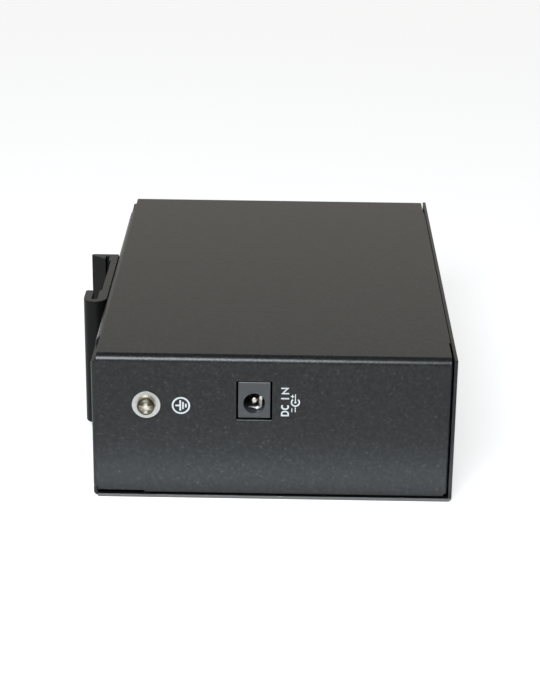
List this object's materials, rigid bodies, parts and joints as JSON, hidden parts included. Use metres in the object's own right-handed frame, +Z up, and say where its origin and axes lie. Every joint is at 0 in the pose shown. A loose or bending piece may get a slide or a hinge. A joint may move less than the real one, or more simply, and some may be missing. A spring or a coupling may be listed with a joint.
{
  "type": "industrial ethernet switch",
  "caption": "Flat folded-metal network switch with a row of ports on its front, a power inlet and an earth screw on one end wall, and a sprung rail clip on its back.",
  "frame": {"origin": "middle of the underside, on the outer face of the side plate that the case lies on", "axes": "+X towards the front panel with the ports, +Y along the longest side away from the end wall with the power inlet, +Z up through the main plate"},
  "size_m": [0.1112, 0.153, 0.0435],
  "materials": {
    "powder_coat": "black powder coat, fine texture, satin",
    "black_screw": "black zinc on steel, satin",
    "zinc_steel": "zinc-plated steel",
    "black_anodised": "black anodised extrusion, satin",
    "spring_steel": "bright rolled spring steel",
    "nickel_plate": "nickel-plated steel, bright",
    "inlet_plastic": "black moulded thermoplastic, satin",
    "contact_nickel": "nickel-plated brass, bright",
    "board_laminate": "glass-epoxy laminate with green solder mask",
    "black_plastic": "black moulded plastic",
    "lamp_epoxy": "tinted clear epoxy",
    "sink_aluminium": "black anodised",
    "ferrite": "dark grey sintered ferrite",
    "can_aluminium": "drawn can, bright",
    "fuse_ceramic": "pale ceramic body",
    "tin_shield": "tin-plated folded sheet",
    "gold_contact": "gold-plated spring wire"
  },
  "bodies": {
    "case": {"board_screws": "zinc_steel", "board_standoffs": "zinc_steel", "chassis": "powder_coat", "circuit_board": "board_laminate", "clip_nuts": "zinc_steel", "clip_screws": "black_screw", "cover_nuts": "zinc_steel", "cover_pillars": "zinc_steel", "cover_screws": "black_screw", "crystal": "zinc_steel", "dc_jack_body": "inlet_plastic", "dc_jack_contact": "contact_nickel", "dc_jack_pin": "contact_nickel", "filter_capacitor": "can_aluminium", "front_cover": "powder_coat", "fuse": "fuse_ceramic", "ground_nut": "zinc_steel", "ground_screw": "nickel_plate", "ground_spring_washer": "nickel_plate", "ground_washer": "nickel_plate", "heat_sink": "sink_aluminium", "lamp_holder": "black_plastic", "memory_chip": "black_plastic", "pillar_screws": "black_screw", "port_contacts_1": "gold_contact", "port_contacts_2": "gold_contact", "port_contacts_3": "gold_contact", "port_contacts_4": "gold_contact", "port_contacts_5": "gold_contact", "port_housing_1": "black_plastic", "port_housing_2": "black_plastic", "port_housing_3": "black_plastic", "port_housing_4": "black_plastic", "port_housing_5": "black_plastic", "port_lamps": "lamp_epoxy", "port_shield_1": "tin_shield", "port_shield_2": "tin_shield", "port_shield_3": "tin_shield", "port_shield_4": "tin_shield", "port_shield_5": "tin_shield", "port_transformer_1": "black_plastic", "port_transformer_2": "black_plastic", "port_transformer_3": "black_plastic", "port_transformer_4": "black_plastic", "port_transformer_5": "black_plastic", "power_inductor": "ferrite", "power_lamp": "lamp_epoxy", "rail_clip": "black_anodised", "regulator": "black_plastic", "spring_pin": "spring_steel", "switch_chip": "black_plastic"},
    "rail_spring": {"rail_spring": "spring_steel"}
  },
  "joints": [
    {"name": "rail_spring_press", "type": "hinge", "parent": "case", "child": "rail_spring", "pos_m": [-0.0547, -0.02524, 0.0076], "axis": [1, 0, 0], "range_deg": [0, 6], "stiffness_Nm_per_rad": 0.28}
  ]
}
